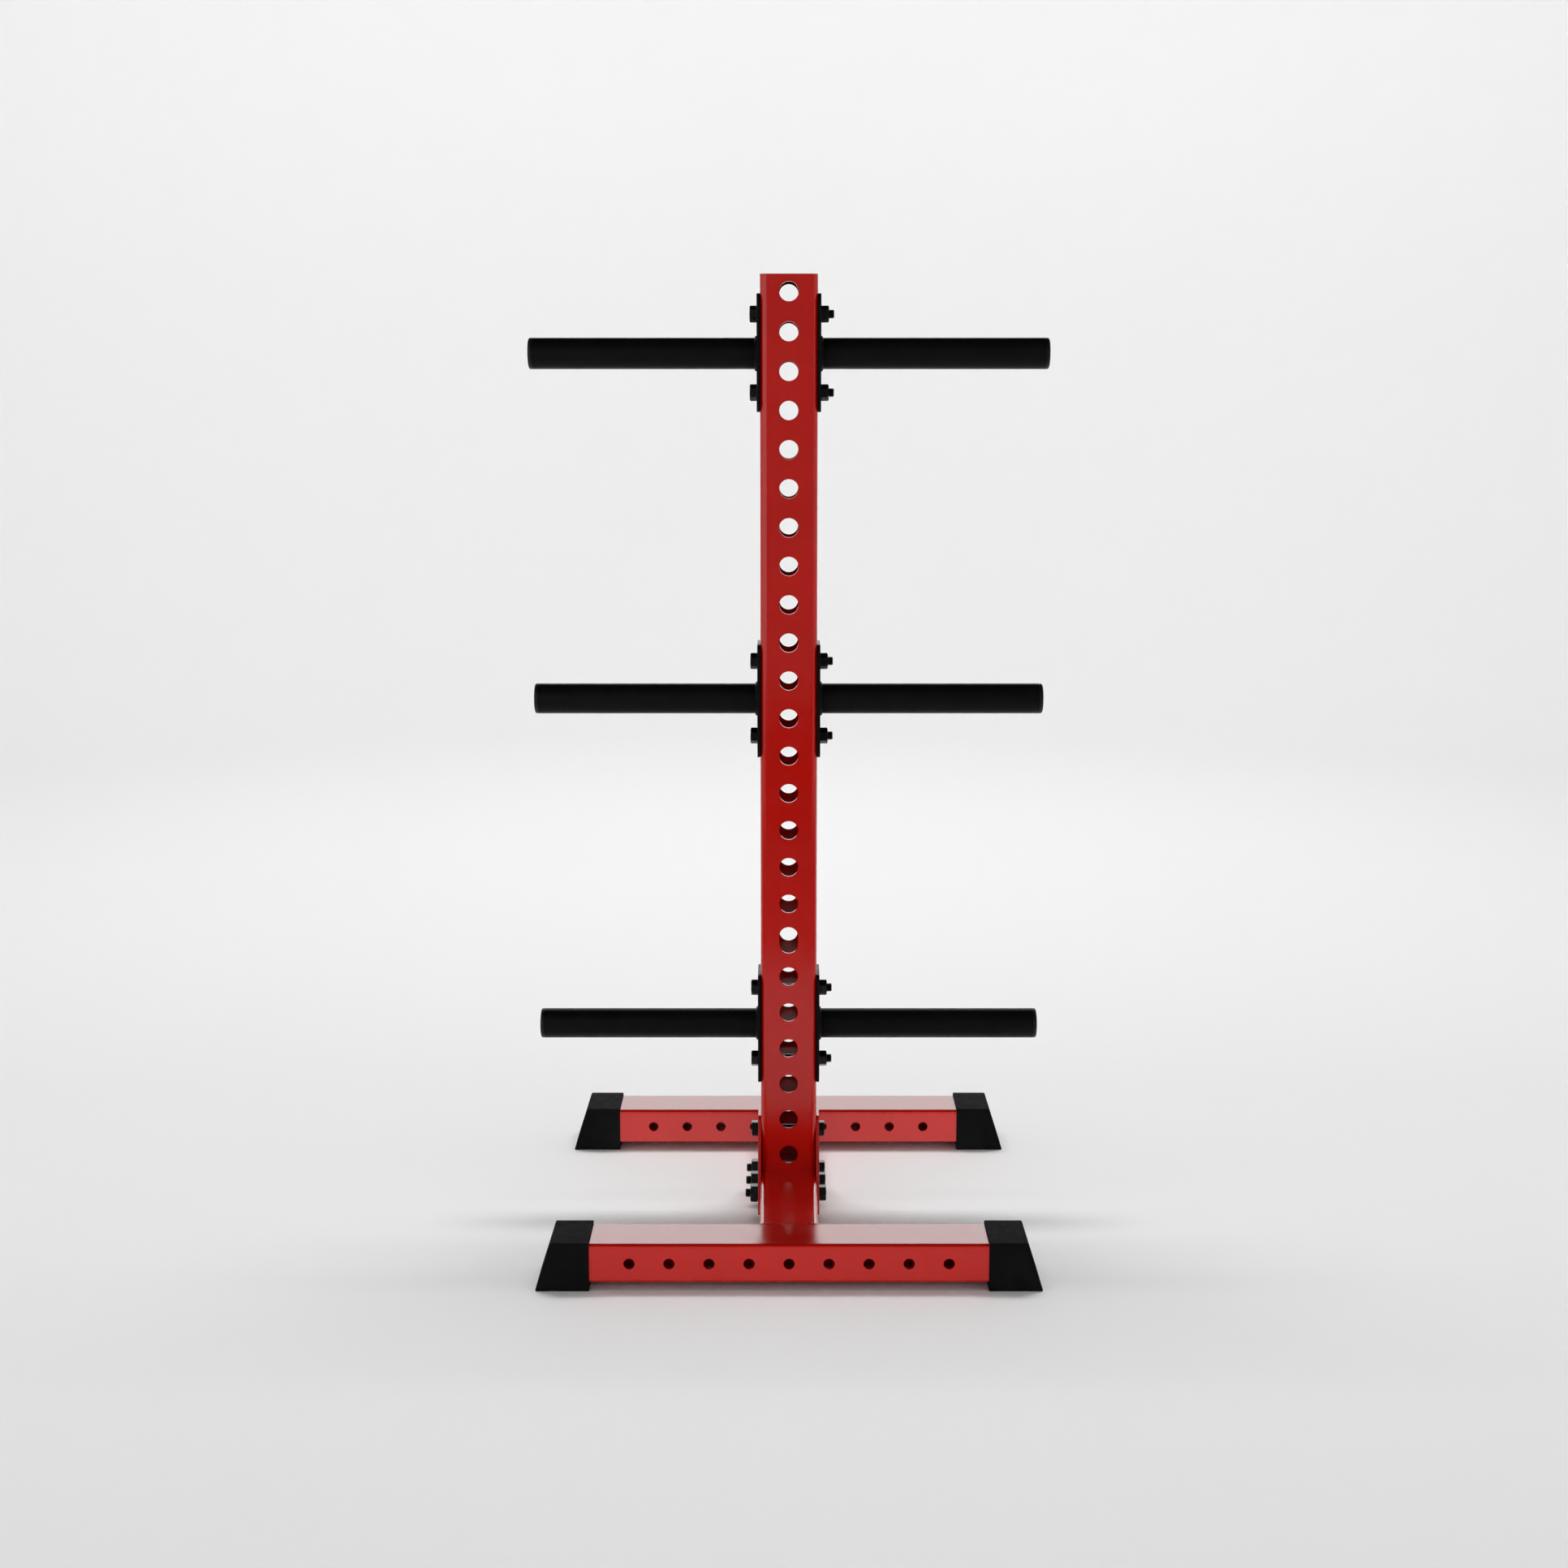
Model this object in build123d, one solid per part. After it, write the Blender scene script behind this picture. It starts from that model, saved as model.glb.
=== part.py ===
from build123d import *
import os
from math import cos, radians

# Plate storage rack: one box-section upright on a welded H-shaped base.
# Millimetres. X runs along the pegs, Y along the base beam, Z up.
# The origin is on the floor, under the middle of the upright.

# ---- driving dimensions ----------------------------------------------------
TUBE_SIZE = 75.0            # upright section, and the width of beam and feet
TUBE_WALL = 3.0
UPRIGHT_CORNER = 9.0        # outer corner radius of the upright tube
BASE_CORNER = 5.0           # outer corner radius of the beam and foot tubes
HOLE_PITCH = 50.0           # pitch of every row of holes

SOLE = 10.0                 # rubber under the feet
FOOT_HEIGHT = 50.0          # height of the beam and foot tubes
UPRIGHT_LENGTH = 1197.0
FEET_APART = 530.0          # centre to centre, along Y
FOOT_LENGTH = 580.0
FOOT_SHOWN = 500.0          # length of foot tube between its two boots

BASE_TOP = SOLE + FOOT_HEIGHT
BASE_BOLT_Z = SOLE + FOOT_HEIGHT / 2
UPRIGHT_TOP = BASE_TOP + UPRIGHT_LENGTH
FACE = TUBE_SIZE / 2        # distance from the axis to a face of the upright

FACE_HOLE = 25.0            # large holes in the upright's front and back
FACE_HOLE_TOP = UPRIGHT_TOP - 22.0
FACE_HOLE_COUNT = 24
SLOT_INDEX = 17             # this place in the row is a slot, not a hole
SLOT_HEIGHT = 36.0
FOOT_HOLE = 14.0
FOOT_HOLE_COUNT = 9
BOLT_HOLE = 13.0

PEG_LEVELS = {"top": 1158.0, "middle": 707.0, "bottom": 260.0}
PEG_OUTER = 40.0
PEG_WALL = 3.0
PEG_REACH = 300.0           # from the face of the upright to the peg's tip
PEG_CAP_RIM = 5.0
PEG_CAP_EDGE = 2.5          # radius round the end of the cap
SPIGOT_DEPTH = 18.0         # the part of the cap inside the tube
SPIGOT_WALL = 2.5
PLATE_THICK = 4.0
PLATE_HEIGHT = 150.0
PLATE_CORNER = 10.0
PLATE_BOLTS = 50.0          # bolts above and below the peg's axis
PEG_BEVEL = 2.5             # ground off the welded end of a peg tube
PEG_WELD_RISE = 3.5         # how far the bead spreads over the plate
BEAM_WELD_LEG = 3.0
GROOVE_DEPTH = 0.58 * BASE_CORNER   # filled groove between the beam's end and a foot's corner

GUSSET_MARGIN = 25.0        # from a gusset's bolts to its edges
GUSSET_BOLT_Z = 110.0
GUSSET_CORNER = 8.0

BOLT_SIZE = 12.0
BOLT_POINT = 1.2            # chamfer at the end of a bolt
HEX_FLATS = 19.0
BASE_NUT_FLATS = 22.0       # the base has heavier nuts
HEX_RUN = 0.2               # how far the corner chamfer cuts into the flats
HEAD_HEIGHT = 9.5
NUT_HEIGHT = 10.5
THIN_NUT_HEIGHT = 8.0
NUT_PLAY = 0.2              # nut bore over bolt diameter
LONG_BOLT = 100.0
SHORT_BOLT = 90.0
CORNER_UP = 0               # how a hexagon is turned about its bolt, in degrees
FLAT_UP = 30

PLUG_PLAY = 0.1             # gap all round between a plastic plug and its tube
PLUG_LID = 4.0
PLUG_SKIRT = 5.0            # ends just above the top hole
PLUG_WALL = 2.5

BOOT_WALL = 3.0
BOOT_PLAY = 0.1             # gap between a boot and its foot tube
BOOT_EDGE = 1.5             # radius on the boot's edges
BOOT_TOP_OUT = 298.0        # where the sloping end meets the top
BOOT_FLOOR_OUT = 318.0      # where the sloping end meets the floor

OUTSIDE = FACE + PLATE_THICK    # outer face of the bolted-on plates
DRILL_LENGTH = 4 * OUTSIDE      # passes right through any one tube
HAIR = 0.01                     # smaller than any feature


# ---- helpers ---------------------------------------------------------------
def box_tube(width, height, length, corner):
    """A rounded box tube standing on the origin, with its length along Z."""
    outer = RectangleRounded(width, height, corner)
    inner = RectangleRounded(width - 2 * TUBE_WALL, height - 2 * TUBE_WALL, corner - TUBE_WALL)
    return extrude(outer - inner, length)


def lay_along_x(shape, length):
    """Turn a Z-long shape to lie along X, centred on the origin."""
    return Rot(0, 90, 0) * Rot(0, 0, 90) * Pos(0, 0, -length / 2) * shape


def lay_along_y(shape, length):
    """Turn a Z-long shape to lie along Y, centred on the origin."""
    return Rot(90, 0, 0) * Pos(0, 0, -length / 2) * shape


def drill_x(diameter, y, z):
    return Pos(0, y, z) * Rot(0, 90, 0) * Cylinder(diameter / 2, DRILL_LENGTH)


def drill_y(diameter, x, y, z):
    return Pos(x, y, z) * Rot(90, 0, 0) * Cylinder(diameter / 2, DRILL_LENGTH)


def facing(side):
    """Turn a shape built along +Z to point out along +X or -X."""
    return Rot(0, 90 * side, 0)


def hexagon(flats, height, bore=None):
    """A hex head or nut on the XY plane, with the corners of its outer face chamfered off."""
    flat = flats / 2
    corner = flat / cos(radians(30))
    prism = extrude(RegularPolygon(flat, 6, major_radius=False), height)
    chamfer_width = corner - flat + HEX_RUN
    profile = Polyline(
        (0, 0),
        (corner, 0),
        (corner, height - chamfer_width / 2),
        (corner - chamfer_width, height),
        (0, height),
        close=True,
    )
    body = prism & revolve(Plane.XZ * make_face(profile), Axis.Z)
    if bore:
        body -= Pos(0, 0, height / 2) * Cylinder(bore / 2, 2 * height)
    return body


def bolt(length):
    """Hex bolt: head above the XY plane, shank below it."""
    shank = Pos(0, 0, -length / 2) * Cylinder(BOLT_SIZE / 2, length)
    shank = chamfer(shank.edges().sort_by(Axis.Z)[0], BOLT_POINT)
    return hexagon(HEX_FLATS, HEAD_HEIGHT) + shank


# ---- base ------------------------------------------------------------------
def foot_tube(y):
    foot = box_tube(TUBE_SIZE, FOOT_HEIGHT, FOOT_LENGTH, BASE_CORNER)
    foot = Pos(0, y, BASE_BOLT_Z) * lay_along_x(foot, FOOT_LENGTH)
    first = -HOLE_PITCH * (FOOT_HOLE_COUNT - 1) / 2
    holes = [
        drill_y(FOOT_HOLE, first + HOLE_PITCH * index, y, BASE_BOLT_Z)
        for index in range(FOOT_HOLE_COUNT)
    ]
    return foot - holes


def base_beam():
    length = FEET_APART - TUBE_SIZE
    beam = lay_along_y(box_tube(TUBE_SIZE, FOOT_HEIGHT, length, BASE_CORNER), length)
    holes = [drill_x(BOLT_HOLE, y, 0) for y in (-HOLE_PITCH, 0, HOLE_PITCH)]
    return Pos(0, 0, BASE_BOLT_Z) * (beam - holes)


def beam_weld(end):
    """Beads round one end of the beam: a fillet on each side, a filled groove above and below."""
    joint = -(FEET_APART - TUBE_SIZE) / 2
    fillet_face = make_face(
        Polyline((0, 0), (BEAM_WELD_LEG, 0), (0, BEAM_WELD_LEG), close=True)
    )
    right = Pos(FACE, joint, SOLE + BASE_CORNER) * extrude(
        fillet_face, FOOT_HEIGHT - 2 * BASE_CORNER
    )
    groove_face = make_face(
        Polyline((0, 0), (0, -GROOVE_DEPTH), (-GROOVE_DEPTH, 0), close=True)
    )
    half_width = FACE - BASE_CORNER
    above = Pos(0, joint, FOOT_HEIGHT / 2) * extrude(
        Plane.YZ * groove_face, half_width, both=True
    )
    below = mirror(above, Plane.XY)
    weld = right + mirror(right, Plane.YZ) + Pos(0, 0, BASE_BOLT_Z) * (above + below)
    if end > 0:
        weld = mirror(weld, Plane.XZ)
    return weld


def foot_boot(y, side):
    """Rubber boot over one end of a foot: a sole, thin walls and a sloping end."""
    start = FOOT_SHOWN / 2
    top = BASE_TOP + BOOT_WALL
    width = TUBE_SIZE + 2 * BOOT_WALL
    profile = Polyline(
        (start, 0), (BOOT_FLOOR_OUT, 0), (BOOT_TOP_OUT, top), (start, top), close=True
    )
    body = extrude(Plane.XZ * make_face(profile), width / 2, both=True)
    rounded = [
        edge
        for edge in body.edges()
        if edge.center().X > start + HAIR and edge.center().Z > HAIR
    ]
    body = fillet(rounded, BOOT_EDGE)
    cavity = RectangleRounded(TUBE_SIZE + 2 * BOOT_PLAY, FOOT_HEIGHT + BOOT_PLAY, BASE_CORNER)
    cavity = lay_along_x(extrude(cavity, FOOT_LENGTH), FOOT_LENGTH)
    cavity = Pos(0, 0, BASE_BOLT_Z + BOOT_PLAY / 2) * cavity
    boot = body - cavity
    if side < 0:
        boot = mirror(boot, Plane.YZ)
    return Pos(0, y, 0) * boot


# ---- upright ---------------------------------------------------------------
def upright():
    post = Pos(0, 0, BASE_TOP) * box_tube(TUBE_SIZE, TUBE_SIZE, UPRIGHT_LENGTH, UPRIGHT_CORNER)
    cuts = []
    for index in range(FACE_HOLE_COUNT):
        z = FACE_HOLE_TOP - HOLE_PITCH * index
        if index == SLOT_INDEX:
            slot = SlotOverall(SLOT_HEIGHT, FACE_HOLE, rotation=90)
            cuts.append(Pos(0, 0, z) * extrude(Plane.XZ * slot, TUBE_SIZE, both=True))
        else:
            cuts.append(drill_y(FACE_HOLE, 0, 0, z))
    for level in PEG_LEVELS.values():
        cuts.append(drill_x(BOLT_HOLE, 0, level - PLATE_BOLTS))
        cuts.append(drill_x(BOLT_HOLE, 0, level + PLATE_BOLTS))
    cuts.append(drill_x(BOLT_HOLE, 0, GUSSET_BOLT_Z))
    return post - cuts


def top_plug():
    """Plastic plug pushed into the open top of the upright, flush with its rim."""
    size = TUBE_SIZE - 2 * TUBE_WALL - 2 * PLUG_PLAY
    hollow = size - 2 * PLUG_WALL
    outline = RectangleRounded(size, size, UPRIGHT_CORNER - TUBE_WALL)
    lid = extrude(outline, -PLUG_LID)
    skirt = extrude(outline - Rectangle(hollow, hollow), -PLUG_LID - PLUG_SKIRT)
    return Pos(0, 0, UPRIGHT_TOP) * (lid + skirt)


def gusset(side):
    """Flat plate that ties the upright to the beam, tapering towards the top."""
    low = BASE_BOLT_Z - GUSSET_MARGIN
    high = GUSSET_BOLT_Z + GUSSET_MARGIN
    half_base = HOLE_PITCH + GUSSET_MARGIN
    outline = Polyline(
        (-half_base, low),
        (half_base, low),
        (half_base, BASE_BOLT_Z),
        (GUSSET_MARGIN, high),
        (-GUSSET_MARGIN, high),
        (-half_base, BASE_BOLT_Z),
        close=True,
    )
    sheet = make_face(outline)
    sheet = fillet(sheet.vertices(), GUSSET_CORNER)
    plate = Plane.YZ * extrude(sheet, PLATE_THICK)
    plate = Pos(FACE, 0, 0) * plate
    for y in (-HOLE_PITCH, 0, HOLE_PITCH):
        plate -= drill_x(BOLT_HOLE, y, BASE_BOLT_Z)
    plate -= drill_x(BOLT_HOLE, 0, GUSSET_BOLT_Z)
    if side < 0:
        plate = mirror(plate, Plane.YZ)
    return plate


# ---- pegs ------------------------------------------------------------------
def bracket_plate(side, level):
    sheet = RectangleRounded(PLATE_HEIGHT, TUBE_SIZE, PLATE_CORNER)
    sheet -= [
        Pos(offset, 0) * Circle(BOLT_HOLE / 2) for offset in (-PLATE_BOLTS, PLATE_BOLTS)
    ]
    return Pos(side * FACE, 0, level) * facing(side) * extrude(sheet, PLATE_THICK)


def peg_tube(side, level):
    """Round tube with its welded end bevelled, so the bead ends where the peg's surface begins."""
    length = PEG_REACH - PLATE_THICK - PEG_CAP_RIM
    rod = extrude(Circle(PEG_OUTER / 2), length)
    rod = chamfer(rod.edges().sort_by(Axis.Z)[0], PEG_BEVEL)
    tube = rod - extrude(Circle(PEG_OUTER / 2 - PEG_WALL), length)
    return Pos(side * OUTSIDE, 0, level) * facing(side) * tube


def peg_weld(side, level):
    outer = PEG_OUTER / 2
    profile = Polyline(
        (outer - PEG_BEVEL, 0), (outer + PEG_WELD_RISE, 0), (outer, PEG_BEVEL), close=True
    )
    bead = revolve(Plane.XZ * make_face(profile), Axis.Z)
    return Pos(side * OUTSIDE, 0, level) * facing(side) * bead


def peg_end_cap(side, level):
    """Plastic cap: a rim as wide as the peg, and a hollow spigot inside it."""
    bore = PEG_OUTER / 2 - PEG_WALL - PLUG_PLAY
    rim = extrude(Circle(PEG_OUTER / 2), PEG_CAP_RIM)
    rim = fillet(rim.edges().sort_by(Axis.Z)[-1], PEG_CAP_EDGE)
    spigot = extrude(Circle(bore) - Circle(bore - SPIGOT_WALL), -SPIGOT_DEPTH)
    tip = side * (FACE + PEG_REACH - PEG_CAP_RIM)
    return Pos(tip, 0, level) * facing(side) * (rim + spigot)


# ---- fasteners -------------------------------------------------------------
def through_bolt(side, y, z, length, turn):
    """Bolt with its head on the given side of the rack."""
    return Pos(side * OUTSIDE, y, z) * facing(side) * Rot(0, 0, turn) * bolt(length)


def lock_nut(side, y, z, flats, height, turn):
    nut = hexagon(flats, height, BOLT_SIZE + NUT_PLAY)
    return Pos(side * OUTSIDE, y, z) * facing(side) * Rot(0, 0, turn) * nut


# ---- the rack --------------------------------------------------------------
def build_rack():
    pieces = {
        "upright": upright(),
        "upright_top_plug": top_plug(),
        "base_beam": base_beam(),
    }

    for place, end in (("front", -1), ("rear", 1)):
        y = end * FEET_APART / 2
        pieces[f"{place}_foot_tube"] = foot_tube(y)
        pieces[f"{place}_beam_weld"] = beam_weld(end)
        for name, side in (("left", -1), ("right", 1)):
            pieces[f"{place}_{name}_foot_boot"] = foot_boot(y, side)

    for name, side in (("left", -1), ("right", 1)):
        pieces[f"{name}_gusset"] = gusset(side)
        for level_name, level in PEG_LEVELS.items():
            label = f"{level_name}_{name}"
            pieces[f"{label}_bracket_plate"] = bracket_plate(side, level)
            pieces[f"{label}_peg_tube"] = peg_tube(side, level)
            pieces[f"{label}_peg_weld"] = peg_weld(side, level)
            pieces[f"{label}_peg_end_cap"] = peg_end_cap(side, level)

    for level_name, level in PEG_LEVELS.items():
        for row, offset in (("upper", PLATE_BOLTS), ("lower", -PLATE_BOLTS)):
            label = f"{level_name}_{row}_bracket"
            z = level + offset
            pieces[f"{label}_bolt"] = through_bolt(-1, 0, z, LONG_BOLT, CORNER_UP)
            pieces[f"{label}_nut"] = lock_nut(1, 0, z, HEX_FLATS, NUT_HEIGHT, CORNER_UP)

    for place, y in (("front", -HOLE_PITCH), ("middle", 0), ("rear", HOLE_PITCH)):
        pieces[f"{place}_base_bolt"] = through_bolt(1, y, BASE_BOLT_Z, LONG_BOLT, FLAT_UP)
        pieces[f"{place}_base_nut"] = lock_nut(
            -1, y, BASE_BOLT_Z, BASE_NUT_FLATS, NUT_HEIGHT, FLAT_UP
        )
    pieces["gusset_top_bolt"] = through_bolt(-1, 0, GUSSET_BOLT_Z, SHORT_BOLT, FLAT_UP)
    pieces["gusset_top_nut"] = lock_nut(
        1, 0, GUSSET_BOLT_Z, HEX_FLATS, THIN_NUT_HEIGHT, FLAT_UP
    )
    return pieces


os.makedirs("parts", exist_ok=True)
for node, shape in build_rack().items():
    export_step(shape, f"parts/{node}.step")
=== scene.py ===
import math
import bmesh
import bpy
from mathutils import Matrix, Vector


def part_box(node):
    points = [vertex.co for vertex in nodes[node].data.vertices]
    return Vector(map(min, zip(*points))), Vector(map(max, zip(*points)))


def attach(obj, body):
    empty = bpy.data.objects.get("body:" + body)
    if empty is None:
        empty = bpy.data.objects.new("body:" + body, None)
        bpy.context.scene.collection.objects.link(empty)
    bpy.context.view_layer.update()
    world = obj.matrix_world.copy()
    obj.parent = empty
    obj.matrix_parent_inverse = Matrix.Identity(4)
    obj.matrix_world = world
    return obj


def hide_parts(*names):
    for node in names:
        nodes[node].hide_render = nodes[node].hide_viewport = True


# The looks of the plate storage rack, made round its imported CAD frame. Metres, Z up.
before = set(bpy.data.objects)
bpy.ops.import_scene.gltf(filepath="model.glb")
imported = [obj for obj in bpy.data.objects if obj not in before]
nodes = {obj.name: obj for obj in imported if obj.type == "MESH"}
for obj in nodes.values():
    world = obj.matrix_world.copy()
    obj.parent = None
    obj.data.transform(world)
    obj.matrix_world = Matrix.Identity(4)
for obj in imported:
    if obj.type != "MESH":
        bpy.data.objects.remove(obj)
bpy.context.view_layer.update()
MM = 0.001
TAU = 2 * math.pi


# ---- camera ----------------------------------------------------------------
CAMERA_PLACE = (-0.0063, -2.9006, 1.0914)
CAMERA_DIP = math.radians(9.785)
CAMERA_LENS = 50.38         # in mm, for Blender's usual 36 mm sensor


def make_camera():
    """In front of the rack, a little below its top, looking slightly down."""
    data = bpy.data.cameras.new("camera")
    data.lens = CAMERA_LENS
    camera = bpy.data.objects.new("camera", data)
    camera.location = CAMERA_PLACE
    camera.rotation_euler = (math.pi / 2 - CAMERA_DIP, 0, 0)
    bpy.context.collection.objects.link(camera)
    bpy.context.scene.camera = camera


# ---- materials -------------------------------------------------------------
NOISE_MIDDLE = (0.3, 0.7)   # where nearly all of a noise's values lie
GLOSS_TO_COLOUR = 2.7       # cycles of the gloss's clouds to one of the colour's


def noise(tree, cycles_per_metre, detail=2.0):
    """Noise fixed to the rack's own coordinates."""
    place = tree.nodes.new("ShaderNodeTexCoord")
    texture = tree.nodes.new("ShaderNodeTexNoise")
    texture.inputs["Scale"].default_value = cycles_per_metre
    texture.inputs["Detail"].default_value = detail
    tree.links.new(place.outputs["Object"], texture.inputs["Vector"])
    return texture.outputs["Fac"]


def spread(tree, value, low, high):
    """Map the middle of a noise's range to a range from low to high."""
    mapped = tree.nodes.new("ShaderNodeMapRange")
    mapped.inputs["From Min"].default_value = NOISE_MIDDLE[0]
    mapped.inputs["From Max"].default_value = NOISE_MIDDLE[1]
    mapped.inputs["To Min"].default_value = low
    mapped.inputs["To Max"].default_value = high
    tree.links.new(value, mapped.inputs["Value"])
    return mapped.outputs["Result"]


def blend_colours(tree, value, dark, light):
    """A colour that goes from dark to light as the value rises."""
    mix = tree.nodes.new("ShaderNodeMix")
    mix.data_type = "RGBA"
    mix.inputs["A"].default_value = (*dark, 1)
    mix.inputs["B"].default_value = (*light, 1)
    tree.links.new(spread(tree, value, 0, 1), mix.inputs["Factor"])
    return mix.outputs["Result"]


def bump(tree, value, height, below=None):
    """Raise the surface by a height in metres where the value is high."""
    node = tree.nodes.new("ShaderNodeBump")
    node.inputs["Distance"].default_value = height
    tree.links.new(value, node.inputs["Height"])
    if below is not None:
        tree.links.new(below, node.inputs["Normal"])
    return node.outputs["Normal"]


def surface(name, dark, light, cloud, roughness, grain, specular=0.5, metallic=0.0):
    """A finish whose colour and gloss vary in clouds, over a fine grain.

    cloud is the clouds' cycles per metre, roughness a range, and grain a list of
    (cycles per metre, height in metres) from coarse to fine."""
    material = bpy.data.materials.new(name)
    material.use_nodes = True
    tree = material.node_tree
    shader = tree.nodes["Principled BSDF"]
    shader.inputs["Specular IOR Level"].default_value = specular
    shader.inputs["Metallic"].default_value = metallic
    clouds = noise(tree, cloud, detail=3.0)
    tree.links.new(blend_colours(tree, clouds, dark, light), shader.inputs["Base Color"])
    gloss = noise(tree, GLOSS_TO_COLOUR * cloud)
    tree.links.new(spread(tree, gloss, *roughness), shader.inputs["Roughness"])
    normal = None
    for cycles, height in grain:
        normal = bump(tree, noise(tree, cycles), height, normal)
    tree.links.new(normal, shader.inputs["Normal"])
    return material


FINISHES = {
    "red_powder_coat": surface(
        "red_powder_coat_finish",
        dark=(0.64, 0.0042, 0.0004),
        light=(0.70, 0.0056, 0.0010),
        cloud=14,
        roughness=(0.12, 0.17),
        grain=[(240, 30e-6), (900, 6e-6)],
        specular=0.5,
    ),
    "black_powder_coat": surface(
        "black_powder_coat_finish",
        dark=(0.0056, 0.0056, 0.0056),
        light=(0.0074, 0.0074, 0.0074),
        cloud=30,
        roughness=(0.36, 0.46),
        grain=[(500, 40e-6), (1500, 12e-6)],
        specular=0.07,
    ),
    "black_plastic": surface(
        "black_plastic_finish",
        dark=(0.0060, 0.0060, 0.0062),
        light=(0.0085, 0.0085, 0.0088),
        cloud=60,
        roughness=(0.42, 0.52),
        grain=[(1200, 15e-6)],
        specular=0.3,
    ),
    "boot_rubber": surface(
        "boot_rubber_finish",
        dark=(0.0056, 0.0056, 0.0057),
        light=(0.0080, 0.0080, 0.0081),
        cloud=45,
        roughness=(0.74, 0.86),
        grain=[(160, 60e-6), (1400, 25e-6)],
        specular=0.06,
    ),
    "black_steel": surface(
        "black_steel_finish",
        dark=(0.020, 0.020, 0.021),
        light=(0.034, 0.033, 0.033),
        cloud=160,
        roughness=(0.24, 0.36),
        grain=[(700, 10e-6)],
        metallic=1.0,
    ),
}
SLOT_OF = {name: node.material_slots[0].material.name for name, node in nodes.items()}


# ---- mesh helpers ----------------------------------------------------------
SHARP_ANGLE = math.radians(35)


def centre_of(node):
    """The middle of a CAD node's box."""
    low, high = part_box(node)
    return (low + high) / 2


def size_of(node):
    """The size of a CAD node's box along X, Y and Z."""
    low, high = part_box(node)
    return high - low


def skin(rings, wrapped=False):
    """A closed mesh over a stack of rings that have the same number of points.

    Its two ends are capped, or joined to each other when wrapped."""
    mesh = bmesh.new()
    loops = [[mesh.verts.new(point) for point in ring] for ring in rings]
    pairs = list(zip(loops, loops[1:]))
    if wrapped:
        pairs.append((loops[-1], loops[0]))
    else:
        mesh.faces.new(loops[0])
        mesh.faces.new(loops[-1])
    for lower, upper in pairs:
        for index, point in enumerate(lower):
            after = (index + 1) % len(lower)
            mesh.faces.new((point, lower[after], upper[after], upper[index]))
    bmesh.ops.recalc_face_normals(mesh, faces=mesh.faces)
    return mesh


def stand_for(node, mesh, place=Matrix.Identity(4), edge=0.0):
    """Make the mesh a piece that is shown instead of a CAD node, in the node's own finish.

    place moves it from its own axes to the rack, and edge rounds its sharp edges."""
    name = f"{node}_detailed"
    data = bpy.data.meshes.new(name)
    bmesh.ops.transform(mesh, matrix=place, verts=mesh.verts)
    if place.determinant() < 0:
        bmesh.ops.reverse_faces(mesh, faces=mesh.faces)
    mesh.to_mesh(data)
    mesh.free()
    data.shade_smooth()
    data.set_sharp_from_angle(angle=SHARP_ANGLE)
    data.materials.append(FINISHES[SLOT_OF[node]])
    piece = bpy.data.objects.new(name, data)
    bpy.context.collection.objects.link(piece)
    if edge:
        round_edges(piece, edge)
    flatten_shading(piece)
    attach(piece, "root")
    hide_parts(node)
    return piece


def round_edges(piece, width):
    """Round a piece's sharp edges."""
    bevel = piece.modifiers.new("round_edges", "BEVEL")
    bevel.width = width
    bevel.segments = 3
    bevel.limit_method = "ANGLE"
    bevel.angle_limit = SHARP_ANGLE
    bevel.harden_normals = True


def flatten_shading(piece):
    """Keep the curved shading inside the small faces beside a big flat one."""
    piece.modifiers.new("flat_faces", "WEIGHTED_NORMAL").keep_sharp = True


def circle(radius, height, count):
    """A ring round the Z axis."""
    return [
        Vector((radius * math.cos(TAU * i / count), radius * math.sin(TAU * i / count), height))
        for i in range(count)
    ]


def rounded_outline(width, depth, radius, steps=5):
    """The outline of a rounded rectangle: (point, outward direction) pairs in a plane."""
    outline = []
    for quarter in range(4):
        middle = math.pi / 4 + quarter * math.pi / 2
        corner = Vector((
            math.copysign(width / 2 - radius, math.cos(middle)),
            math.copysign(depth / 2 - radius, math.sin(middle)),
        ))
        for step in range(steps + 1):
            angle = quarter * math.pi / 2 + math.pi / 2 * step / steps
            outward = Vector((math.cos(angle), math.sin(angle)))
            outline.append((corner + radius * outward, outward))
    return outline


def pointing(side, place, turn=0.0):
    """The matrix that stands a shape made along +Z out along +X or -X."""
    return (
        Matrix.Translation(place)
        @ Matrix.Rotation(side * math.pi / 2, 4, "Y")
        @ Matrix.Rotation(turn, 4, "Z")
    )


# ---- CAD nodes that keep their own shape -----------------------------------
EDGE_ROUND = 0.6 * MM
SAME_PLACE = 0.01 * MM
SAME_PLANE = math.radians(0.5)
KEPT = [
    "upright",
    "base_beam",
    "front_foot_tube",
    "rear_foot_tube",
    "left_gusset",
    "right_gusset",
    *[name for name in nodes if name.endswith(("_bracket_plate", "_peg_tube"))],
]


def dress_cad_node(name):
    """Give a CAD node its finish and softly rounded edges, with modifiers only."""
    piece = nodes[name]
    piece.material_slots[0].material = FINISHES[SLOT_OF[name]]
    piece.modifiers.new("join_faces", "WELD").merge_threshold = SAME_PLACE
    whole = piece.modifiers.new("whole_faces", "DECIMATE")
    whole.decimate_type = "DISSOLVE"
    whole.angle_limit = SAME_PLANE
    round_edges(piece, EDGE_ROUND)
    flatten_shading(piece)


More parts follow.
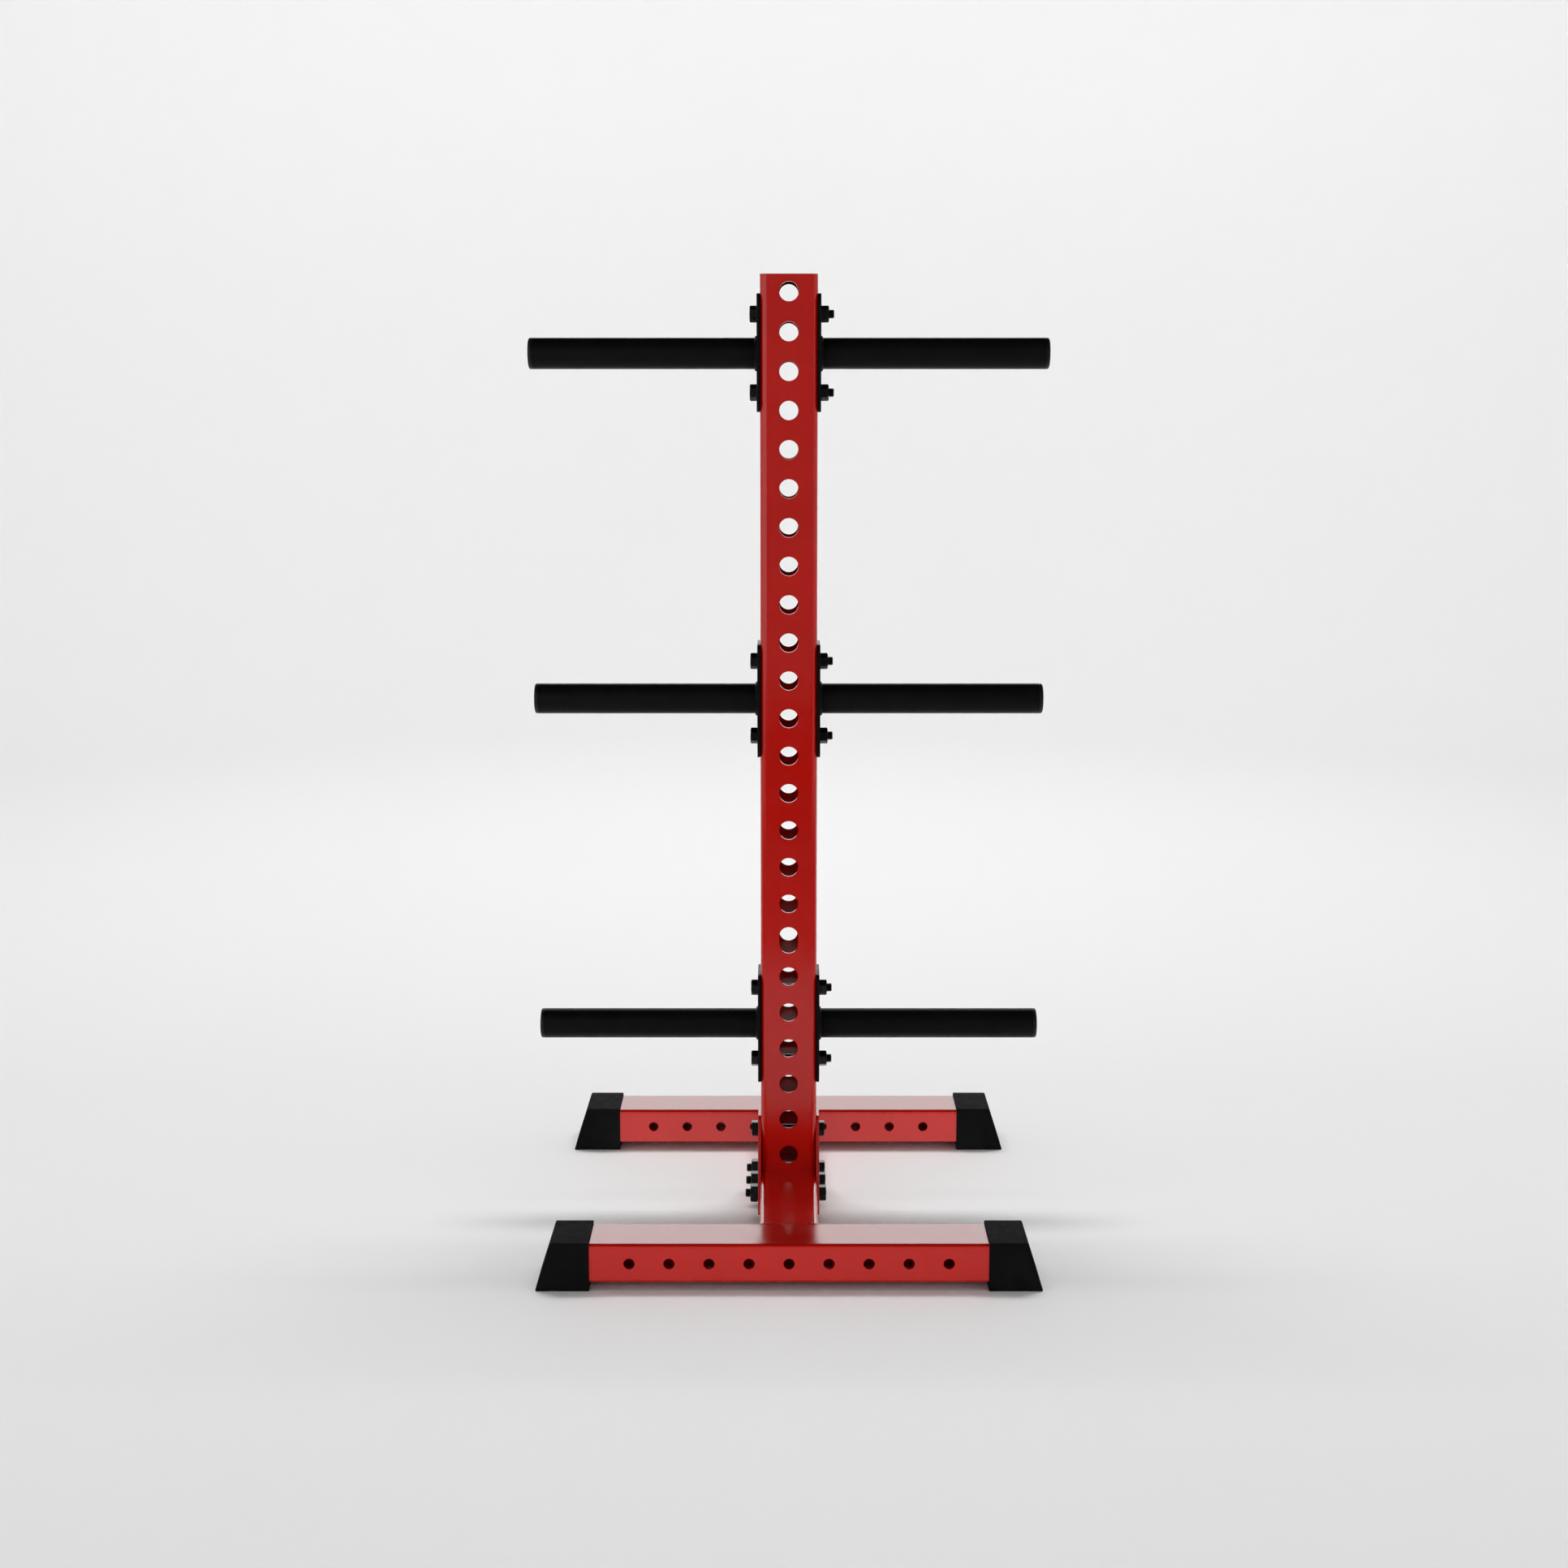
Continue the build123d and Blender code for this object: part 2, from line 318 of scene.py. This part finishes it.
# ---- bolts and nuts --------------------------------------------------------
# Shares are of half the width across the flats.
POINTS_ROUND = 96
CORNER_SHARPNESS = 48       # of the hexagons; higher is sharper
CHAMFER_SLOPE = math.tan(math.radians(30))
CHAMFER_SHARE = 0.95
WASHER_SHARE = 0.93
WASHER_FACE = 0.5 * MM
DISH_FLOOR_SHARE = 0.55
DISH_RIM_SHARE = 0.78
DISH_DEPTH = 0.4 * MM
HEAD_EDGE = 0.15 * MM
NUT_EDGE = 0.2 * MM
THREAD_PITCH = 1.75 * MM
THREAD_DEPTH = 0.9 * MM
THREAD_SHOWN = 20 * MM
THREAD_STEPS = 8            # rings to one pitch
THREAD_CREST = 0.15         # higher makes the crest wider
THREAD_STEEPNESS = 1.3      # higher makes the root wider
BOLT_SIZE = 12 * MM
BOLT_POINT = 1.2 * MM
NUT_BORE = 12.2 * MM
NUT_SINK_INSIDE = (0.8 * MM, 0.9 * MM)      # reach and depth of the countersink
NUT_SINK_OUTSIDE = (0.9 * MM, MM)
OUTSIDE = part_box("right_gusset")[1].x       # where heads and nuts bear


def hexagon(flats, height):
    """A ring with six nearly sharp corners. height is a number or a function of the reach."""
    ring = []
    for i in range(POINTS_ROUND):
        angle = TAU * i / POINTS_ROUND
        total = sum(
            abs(math.cos(angle - side * TAU / 6 - TAU / 12)) ** CORNER_SHARPNESS
            for side in range(3)
        )
        reach = flats / 2 / total ** (1 / CORNER_SHARPNESS)
        level = height(reach) if callable(height) else height
        ring.append(Vector((reach * math.cos(angle), reach * math.sin(angle), level)))
    return ring


def hex_sides(flats, height):
    """The rings of a hexagon from its washer face up to its chamfered outer face."""
    bearing = WASHER_SHARE * flats / 2
    chamfer_start = CHAMFER_SHARE * flats / 2
    return [
        circle(bearing, 0, POINTS_ROUND),
        circle(bearing, WASHER_FACE, POINTS_ROUND),
        hexagon(flats, WASHER_FACE),
        hexagon(flats, lambda reach: height - (reach - chamfer_start) * CHAMFER_SLOPE),
        circle(chamfer_start, height, POINTS_ROUND),
    ]


def thread(start, end):
    """Rings of a screw thread round the Z axis, down from start to end, with a chamfered point."""
    steps = THREAD_STEPS * math.ceil((start - end) / THREAD_PITCH)
    rings = []
    for step in range(steps + 1):
        level = start + (end - start) * step / steps
        ring = []
        for i in range(POINTS_ROUND):
            turn = i / POINTS_ROUND
            wave = abs(2 * ((level / THREAD_PITCH - turn) % 1) - 1)
            cut = min(1, max(0, THREAD_STEEPNESS * wave - THREAD_CREST))
            reach = BOLT_SIZE / 2 - THREAD_DEPTH * cut
            reach = min(reach, BOLT_SIZE / 2 - BOLT_POINT + level - end)
            angle = TAU * turn
            ring.append(Vector((reach * math.cos(angle), reach * math.sin(angle), level)))
        rings.append(ring)
    return rings


def make_bolt(node):
    """A bolt with a chamfered, slightly dished hex head and a threaded end."""
    low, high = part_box(node)
    nut_side = math.copysign(1, centre_of(node.replace("_bolt", "_nut")).x)
    head_side = -nut_side
    size = size_of(node)
    flats = min(size.y, size.z)
    head_tip = high.x if head_side > 0 else -low.x
    head = head_tip - OUTSIDE
    length = size.x - head
    rings = [
        circle(DISH_FLOOR_SHARE * flats / 2, head - DISH_DEPTH, POINTS_ROUND),
        circle(DISH_RIM_SHARE * flats / 2, head, POINTS_ROUND),
        *reversed(hex_sides(flats, head)),
        circle(BOLT_SIZE / 2, 0, POINTS_ROUND),
        *thread(THREAD_SHOWN - length, -length),
    ]
    middle = centre_of(node)
    place = Vector((head_side * OUTSIDE, middle.y, middle.z))
    turn = 0 if size.z > size.y else math.pi / 6
    stand_for(node, skin(rings), pointing(head_side, place, turn), edge=HEAD_EDGE)


def make_nut(node):
    """A hex nut with chamfered corners and a countersunk bore."""
    size = size_of(node)
    middle = centre_of(node)
    side = math.copysign(1, middle.x)
    flats = min(size.y, size.z)
    height = size.x
    bore = NUT_BORE / 2
    inner_reach, inner_depth = NUT_SINK_INSIDE
    outer_reach, outer_depth = NUT_SINK_OUTSIDE
    rings = [
        circle(bore, inner_depth, POINTS_ROUND),
        circle(bore + inner_reach, 0, POINTS_ROUND),
        *hex_sides(flats, height),
        circle(bore + outer_reach, height, POINTS_ROUND),
        circle(bore, height - outer_depth, POINTS_ROUND),
    ]
    place = Vector((side * OUTSIDE, middle.y, middle.z))
    turn = 0 if size.z > size.y else math.pi / 6
    stand_for(node, skin(rings, wrapped=True), pointing(side, place, turn), edge=NUT_EDGE)


# ---- welds -----------------------------------------------------------------
BEAD_POINTS = 12
PEG_BEAD_RADIUS = 3.1 * MM
BEAM_BEAD_RADIUS = 2.7 * MM
BEAD_ALONG = 1.6 * MM       # how far the beam's bead moves to the foot at its top and bottom
BEAD_IN = 2.3 * MM          # and towards the beam's middle
RIPPLE_PITCH = 3.2 * MM
RIPPLE_STEPS = 6
RIPPLE_HEIGHT = 0.10        # share of the bead's radius
RIPPLE_LAG = 0.35           # share of a ripple that its edges trail behind its middle
WANDERS = [                 # share of the bead's radius, waves round the joint, start
    (0.04, 3, 0.7),
    (0.03, 7, 0.0),
]
TUBE_CORNER = 5 * MM        # of the beam and foot tubes


def resample(path, count):
    """Points evenly spaced round a closed path of (point, outward) pairs."""
    lengths = [0.0]
    closed = [*path, path[0]]
    for (start, _), (end, _) in zip(closed, closed[1:]):
        lengths.append(lengths[-1] + (end - start).length)
    found = []
    segment = 0
    for index in range(count):
        wanted = lengths[-1] * index / count
        while lengths[segment + 1] <= wanted:
            segment += 1
        share = (wanted - lengths[segment]) / (lengths[segment + 1] - lengths[segment])
        point = closed[segment][0].lerp(closed[segment + 1][0], share)
        outward = closed[segment][1].lerp(closed[segment + 1][1], share).normalized()
        found.append((point, outward))
    return found, lengths[-1]


def weld_bead(path, across, radius, sink):
    """A rippled bead round a closed path, half buried in the joint that it fills.

    across points away from the plate or end that the path lies on, and sink(outward)
    moves the bead at each point."""
    _, length = resample(path, 1)
    ripples = round(length / RIPPLE_PITCH)
    stations, _ = resample(path, ripples * RIPPLE_STEPS)
    rings = []
    for index, (point, outward) in enumerate(stations):
        around = index / len(stations)
        wander = 1 + sum(
            share * math.sin(waves * TAU * around + start) for share, waves, start in WANDERS
        )
        centre = point + sink(outward)
        ring = []
        for step in range(BEAD_POINTS):
            angle = TAU * step / BEAD_POINTS
            lag = RIPPLE_LAG * math.sin(angle) ** 2
            beat = abs(math.sin(math.pi * (ripples * around + lag)))
            reach = radius * wander * (1 - RIPPLE_HEIGHT * (1 - beat))
            ring.append(centre + reach * (math.cos(angle) * outward + math.sin(angle) * across))
        rings.append(ring)
    return skin(rings, wrapped=True)


def make_peg_weld(node):
    """The bead where a peg meets its bracket plate."""
    middle = centre_of(node)
    side = math.copysign(1, middle.x)
    radius = size_of(node.replace("_peg_weld", "_peg_tube")).z / 2
    path = []
    for index in range(POINTS_ROUND):
        angle = TAU * index / POINTS_ROUND
        outward = Vector((0, math.cos(angle), math.sin(angle)))
        path.append((Vector((side * OUTSIDE, middle.y, middle.z)) + radius * outward, outward))
    across = Vector((side, 0, 0))
    stand_for(node, weld_bead(path, across, PEG_BEAD_RADIUS, lambda outward: Vector()))


def make_beam_weld(node):
    """The bead round the end of the base beam. It sinks into the foot's rounded edges."""
    low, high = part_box("base_beam")
    middle = (low + high) / 2
    end = math.copysign(1, centre_of(node).y)
    joint = high.y if end > 0 else low.y
    path = []
    for flat, direction in rounded_outline(high.x - low.x, high.z - low.z, TUBE_CORNER):
        point = Vector((flat.x, joint, middle.z + flat.y))
        path.append((point, Vector((direction.x, 0, direction.y))))
    across = Vector((0, end, 0))

    def sink(outward):
        return abs(outward.z) * (BEAD_ALONG * across - BEAD_IN * outward)

    stand_for(node, weld_bead(path, across, BEAM_BEAD_RADIUS, sink))


# ---- plastic plugs ---------------------------------------------------------
CAP_POINTS = 72
CAP_EDGE = 2.5 * MM
CAP_EDGE_STEPS = 6
CAP_SEAM = 0.4 * MM         # reach of the gap between the cap and the tube
CAP_DISH = 0.6 * MM
CAP_DISH_REACH = 12 * MM
CAP_GATE_REACH = 1.4 * MM   # of the moulding mark in the dish's middle
CAP_TUBE_WALL = 3.1 * MM    # with the gap that the spigot needs
BARBS = 3
BARB_PITCH = 4.5 * MM
BARB_LENGTH = 3.4 * MM
BARB_HEIGHT = 0.5 * MM


def make_peg_cap(node):
    """A cap with a shallow dish in its face, a thin seam at the tube, and barbs inside it."""
    low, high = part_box(node)
    side = math.copysign(1, low.x)
    middle = (low + high) / 2
    tube_low, tube_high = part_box(node.replace("_peg_end_cap", "_peg_tube"))
    mouth = tube_high.x if side > 0 else -tube_low.x
    tip = high.x if side > 0 else -low.x
    rim = tip - mouth
    spigot = (high.x - low.x) - rim
    radius = (high.z - low.z) / 2
    bore = radius - CAP_TUBE_WALL
    root = bore - BARB_HEIGHT
    inner = bore - 2.5 * MM
    profile = [
        (CAP_GATE_REACH, rim - 0.2 * MM),
        (CAP_GATE_REACH + 0.2 * MM, rim - CAP_DISH),
        (CAP_DISH_REACH, rim - CAP_DISH),
        (CAP_DISH_REACH + 0.8 * MM, rim),
    ]
    for step in range(CAP_EDGE_STEPS + 1):
        angle = math.pi / 2 * step / CAP_EDGE_STEPS
        reach = radius - CAP_EDGE * (1 - math.sin(angle))
        profile.append((reach, rim - CAP_EDGE * (1 - math.cos(angle))))
    profile += [(radius, 0.5 * MM), (radius - CAP_SEAM, 0.1 * MM), (bore, 0.1 * MM)]
    for barb in range(BARBS):
        top = -3 * MM - barb * BARB_PITCH
        profile += [(root, top), (bore, top - 0.6 * MM), (root, top - BARB_LENGTH)]
    profile += [(bore - 0.8 * MM, -spigot), (inner, -spigot), (inner, 0)]
    rings = [circle(reach, level, CAP_POINTS) for reach, level in profile]
    place = Vector((side * mouth, middle.y, middle.z))
    stand_for(node, skin(rings), pointing(side, place))


PLUG_CORNER = 6 * MM
PLUG_LID = 4 * MM
PLUG_WALL = 2.5 * MM
DISH_MARGIN = 7.25 * MM     # from the plug's side to the dish in its lid
DISH_SINK = 0.8 * MM
FIN_PITCH = 3.6 * MM
FIN_REACH = 0.9 * MM


def make_top_plug(node):
    """A square plug with a dished lid and fins that grip the inside of the upright."""
    low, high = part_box(node)
    width = high.x - low.x
    depth = high.z - low.z
    dish = width - 2 * DISH_MARGIN
    root = width - 2 * FIN_REACH
    inner = width - 2 * PLUG_WALL
    sections = [
        (dish - 3.5 * MM, -DISH_SINK),
        (dish - 1.5 * MM, -DISH_SINK),
        (dish, 0),
        (width - 1.4 * MM, 0),
        (width - 0.4 * MM, -0.3 * MM),
        (width, -MM),
        (width, -PLUG_LID),
    ]
    for fin in range(int((depth - PLUG_LID) / FIN_PITCH)):
        top = -PLUG_LID - 0.6 * MM - fin * FIN_PITCH
        sections += [
            (root, top),
            (root, top - 1.6 * MM),
            (width, top - 2.0 * MM),
            (width, top - 2.8 * MM),
        ]
    sections += [(root, -depth), (inner, -depth), (inner, -PLUG_LID)]
    rings = []
    for span, level in sections:
        outline = rounded_outline(span, span, PLUG_CORNER)
        rings.append([Vector((point.x, point.y, level)) for point, _ in outline])
    stand_for(node, skin(rings), Matrix.Translation((0, 0, high.z)))


# ---- rubber boots ----------------------------------------------------------
BOOT_WALL = 3 * MM
BOOT_SLOPE = 20 * MM        # how far the sloping end leans in
BOOT_EDGE = 1.5 * MM
BOOT_EDGE_STEPS = 3
BOOT_LIP = 0.6 * MM
TREAD_DEPTH = 1.2 * MM
TREAD_WIDTH = 3 * MM
TREAD_PITCH = 7 * MM
TREAD_MARGIN = 5 * MM       # from the mouth to the first groove
TREAD_SIDE = 8 * MM         # from the boot's side to where a groove has its full depth


def boot_outline(width, bottom, top, radius, groove=0.0):
    """An outline in the YZ plane whose bottom edge can be notched between its two ends."""
    outline = [
        Vector((point.x, point.y + (top + bottom) / 2))
        for point, _ in rounded_outline(width, top - bottom, radius)
    ]
    reach = width / 2 - TREAD_SIDE
    split = len(outline) * 3 // 4
    notch = [
        Vector((-reach - MM, bottom)),
        Vector((-reach, bottom + groove)),
        Vector((reach, bottom + groove)),
        Vector((reach + MM, bottom)),
    ]
    return outline[:split] + notch + outline[split:]


def make_boot(node):
    """A moulded boot: a thin lip at its mouth, a sloping end and a grooved sole."""
    low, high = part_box(node)
    middle = (low + high) / 2
    side = math.copysign(1, middle.x)
    mouth = min(abs(low.x), abs(high.x))
    floor_end = max(abs(low.x), abs(high.x))
    width, top = high.y - low.y, high.z
    tube_low, tube_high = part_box(node.split("_")[0] + "_foot_tube")
    tube_end, sole = tube_high.x, tube_low.z

    def ring(x, outline, lean=0.0):
        """An outline stood up at x. lean is how far its top comes in."""
        return [
            Vector((x - lean * max(0, point.y) / top, middle.y + point.x, point.y))
            for point in outline
        ]

    def hollow(grow):
        """The inside's outline, grown a little all round."""
        ceiling = top - BOOT_WALL + grow
        return boot_outline(width - 2 * BOOT_WALL + 2 * grow, sole - grow, ceiling, TUBE_CORNER)

    def outer(shrink, groove=0.0):
        """The outside's outline, shrunk a little all round."""
        return boot_outline(width - 2 * shrink, shrink, top - shrink, BOOT_EDGE, groove)

    treads = int((floor_end - BOOT_SLOPE - mouth - TREAD_MARGIN) / TREAD_PITCH)
    rings = [
        ring(tube_end, hollow(0)),
        ring(mouth + BOOT_LIP, hollow(0)),
        ring(mouth, hollow(BOOT_LIP)),
        ring(mouth, outer(BOOT_LIP)),
        ring(mouth + BOOT_LIP, outer(0)),
    ]
    for index in range(treads):
        start = mouth + TREAD_MARGIN + TREAD_PITCH * index
        end = start + TREAD_WIDTH
        rings += [
            ring(start, outer(0)),
            ring(start + BOOT_LIP, outer(0, TREAD_DEPTH)),
            ring(end - BOOT_LIP, outer(0, TREAD_DEPTH)),
            ring(end, outer(0)),
        ]
    for step in range(BOOT_EDGE_STEPS + 1):
        angle = math.pi / 2 * step / BOOT_EDGE_STEPS
        back = BOOT_EDGE * (1 - math.sin(angle))
        rings.append(ring(floor_end - back, outer(BOOT_EDGE * (1 - math.cos(angle))), BOOT_SLOPE))
    flip = Matrix.Scale(side, 4, (1, 0, 0))
    stand_for(node, skin(rings), flip)


# ---- studio ----------------------------------------------------------------
FLOOR_REACH = 3.6
SWEEP_RADIUS = 1.6
SWEEP_STEPS = 16
WALL_TOP = 3.8
STAGE_MIDDLE = Vector((0, 0.8, 0))
STAGE_POINTS = 128
PAPER_GREY = 0.86
AIR_LIGHT = 0.02            # the world's strength
WASH_START = 0.27           # share of the way from the stage's middle to its wall
WASH_LIFT = 0.5             # height over the wall's top
WASH_DEPTH = 0.8
FILL_WIDTH = 2.0
FILL_DEPTH = 0.5
CARD_HEIGHT = 4 * MM        # of a card that lies on the floor
CARD_STEPS = 32


def grey_material(name, level):
    """A plain matt grey, for the stage only."""
    material = bpy.data.materials.new(name)
    material.use_nodes = True
    shader = material.node_tree.nodes["Principled BSDF"]
    shader.inputs["Base Color"].default_value = (level, level, level, 1)
    shader.inputs["Roughness"].default_value = 1.0
    shader.inputs["Specular IOR Level"].default_value = 0.0
    return material


def glow_material(name, level):
    """Even white light, for the reflection cards only."""
    material = bpy.data.materials.new(name)
    material.use_nodes = True
    shader = material.node_tree.nodes["Principled BSDF"]
    shader.inputs["Base Color"].default_value = (0, 0, 0, 1)
    shader.inputs["Specular IOR Level"].default_value = 0.0
    shader.inputs["Emission Color"].default_value = (1, 1, 1, 1)
    shader.inputs["Emission Strength"].default_value = level
    return material


def make_stage():
    """A pale floor that sweeps up into a wall all round."""
    profile = [(FLOOR_REACH / 3, 0.0), (FLOOR_REACH * 2 / 3, 0.0)]
    for step in range(SWEEP_STEPS + 1):
        angle = math.pi / 2 * step / SWEEP_STEPS
        profile.append((
            FLOOR_REACH + SWEEP_RADIUS * math.sin(angle),
            SWEEP_RADIUS * (1 - math.cos(angle)),
        ))
    profile.append((FLOOR_REACH + SWEEP_RADIUS, WALL_TOP))
    mesh = bmesh.new()
    rings = [circle(*section, STAGE_POINTS) for section in profile]
    loops = [[mesh.verts.new(point) for point in ring] for ring in rings]
    for inner, outer in zip(loops, loops[1:]):
        for index, point in enumerate(inner):
            after = (index + 1) % len(inner)
            mesh.faces.new((point, outer[index], outer[after], inner[after]))
    mesh.faces.new(loops[0])
    data = bpy.data.meshes.new("stage")
    mesh.to_mesh(data)
    mesh.free()
    data.shade_smooth()
    data.materials.append(grey_material("stage_paper", PAPER_GREY))
    stage = bpy.data.objects.new("stage", data)
    stage.location = STAGE_MIDDLE
    bpy.context.collection.objects.link(stage)
    return stage


def receivers(name, objects):
    """A group of objects that a light can be kept to."""
    group = bpy.data.collections.new(name)
    for member in objects:
        group.objects.link(member)
    return group


def softbox(name, place, target, width, height, brightness, lit):
    """A soft light on some objects that the camera doesn't see. brightness is its radiance."""
    data = bpy.data.lights.new(name, "AREA")
    data.shape = "RECTANGLE"
    data.size = width
    data.size_y = height
    data.energy = brightness * math.pi * width * height
    light = bpy.data.objects.new(name, data)
    light.location = place
    light.rotation_euler = (Vector(target) - Vector(place)).to_track_quat("-Z", "Y").to_euler()
    light.visible_camera = False
    light.light_linking.receiver_collection = lit
    bpy.context.collection.objects.link(light)


def reflection_card(name, corners, brightness):
    """A card that only mirror-like reflections see."""
    mesh = bmesh.new()
    mesh.faces.new([mesh.verts.new(corner) for corner in corners])
    data = bpy.data.meshes.new(name)
    mesh.to_mesh(data)
    mesh.free()
    data.materials.append(glow_material(f"{name}_glow", brightness))
    card = bpy.data.objects.new(name, data)
    card.visible_camera = False
    card.visible_diffuse = False
    card.visible_transmission = False
    card.visible_shadow = False
    bpy.context.collection.objects.link(card)


def upright_card(name, start, end, low, high, brightness):
    """An upright card over the floor line from start to end."""
    reflection_card(name, [(*start, low), (*end, low), (*end, high), (*start, high)], brightness)


def floor_card(name, inner, outer, brightness):
    """A half ring that lies on the floor in front of the rack."""
    angles = [math.pi * (1 + step / CARD_STEPS) for step in range(CARD_STEPS + 1)]
    corners = [
        (reach * math.cos(angle), reach * math.sin(angle), CARD_HEIGHT)
        for reach, turn in ((inner, 1), (outer, -1))
        for angle in angles[::turn]
    ]
    reflection_card(name, corners, brightness)


def gap_card(name, brightness):
    """A card on the floor in front of the rear foot, which mirrors it."""
    low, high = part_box("rear_foot_tube")
    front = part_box("upright")[1].y
    corners = [(low.x, front), (high.x, front), (high.x, low.y), (low.x, low.y)]
    reflection_card(name, [(*corner, CARD_HEIGHT) for corner in corners], brightness)


def wall_wash(name, outward, width, brightness, lit, rise=0.58):
    """A long light over the stage, turned out to the wall. rise is a share of its height."""
    wall = STAGE_MIDDLE + (FLOOR_REACH + SWEEP_RADIUS) * Vector(outward)
    place = STAGE_MIDDLE.lerp(wall, WASH_START) + Vector((0, 0, WALL_TOP + WASH_LIFT))
    target = wall + Vector((0, 0, WALL_TOP * rise))
    softbox(name, place, target, width, WASH_DEPTH, brightness, lit)


def light_stage(stage):
    """Light on the stage alone: a key from above and behind, and washes up the wall."""
    lit = receivers("lit_stage", [stage])
    softbox("ceiling", (0, 1.4, 4.4), (0, 1.4, 0), width=5.0, height=6.0, brightness=0.28, lit=lit)
    softbox("overhead", (0, 1.05, 4.2), (0, 0, 0), width=4.0, height=0.8, brightness=10.9, lit=lit)
    wall_wash("right_wash", (1, 0, 0), width=5.0, brightness=3.0, lit=lit)
    wall_wash("left_wash", (-1, 0, 0), width=5.0, brightness=3.0, lit=lit)
    wall_wash("back_wash", (0, 1, 0), width=2.4, brightness=18.0, lit=lit, rise=0.74)
    wall_wash("front_wash", (0, -1, 0), width=5.0, brightness=2.0, lit=lit)


def fill(name, offset, brightness):
    """A soft light on one CAD node alone."""
    target = centre_of(name)
    place = target + Vector(offset)
    lit = receivers(f"lit_{name}", [nodes[name]])
    softbox(f"{name}_fill", place, target, FILL_WIDTH, FILL_DEPTH, brightness, lit)


def light_studio(stage):
    """Most of the rack's light is what the lit stage gives back.

    The fills stand in for light that the stage can't give the feet and the beam, and the
    cards for the room that the rack mirrors."""
    world = bpy.data.worlds.new("studio")
    world.use_nodes = True
    world.node_tree.nodes["Background"].inputs["Color"].default_value = (1, 1, 1, 1)
    world.node_tree.nodes["Background"].inputs["Strength"].default_value = AIR_LIGHT
    bpy.context.scene.world = world
    light_stage(stage)
    fill("front_foot_tube", offset=(0, -1.6, 0.5), brightness=0.8)
    fill("rear_foot_tube", offset=(0, -1.6, 0.5), brightness=1.8)
    fill("base_beam", offset=(0, -1.0, 1.5), brightness=1.2)
    upright_card("back_low_card", (-3.0, 4.2), (3.0, 4.2), low=0.3, high=1.6, brightness=2.25)
    upright_card("back_high_card", (-3.0, 4.2), (3.0, 4.2), low=1.6, high=3.0, brightness=2.85)
    upright_card("front_low_card", (-3.4, -2.7), (3.4, -2.7), low=0.0, high=0.38, brightness=0.0)
    upright_card("front_high_card", (-0.62, -3.1), (3.4, -3.1), low=0.38, high=3.0, brightness=0.23)
    upright_card("left_card", (-3.2, -0.4), (-0.62, -3.1), low=0.4, high=2.6, brightness=1.2)
    floor_card("front_floor_card", inner=1.4, outer=3.0, brightness=0.13)
    gap_card("gap_card", brightness=1.3)


# ---- the rack --------------------------------------------------------------
bpy.context.scene.view_settings.view_transform = "Standard"
make_camera()
for kept in KEPT:
    dress_cad_node(kept)
for node_name in nodes:
    if node_name.endswith("_bolt"):
        make_bolt(node_name)
    elif node_name.endswith("_nut"):
        make_nut(node_name)
    elif node_name.endswith("_peg_weld"):
        make_peg_weld(node_name)
    elif node_name.endswith("_beam_weld"):
        make_beam_weld(node_name)
    elif node_name.endswith("_peg_end_cap"):
        make_peg_cap(node_name)
    elif node_name.endswith("_foot_boot"):
        make_boot(node_name)
make_top_plug("upright_top_plug")
light_studio(make_stage())
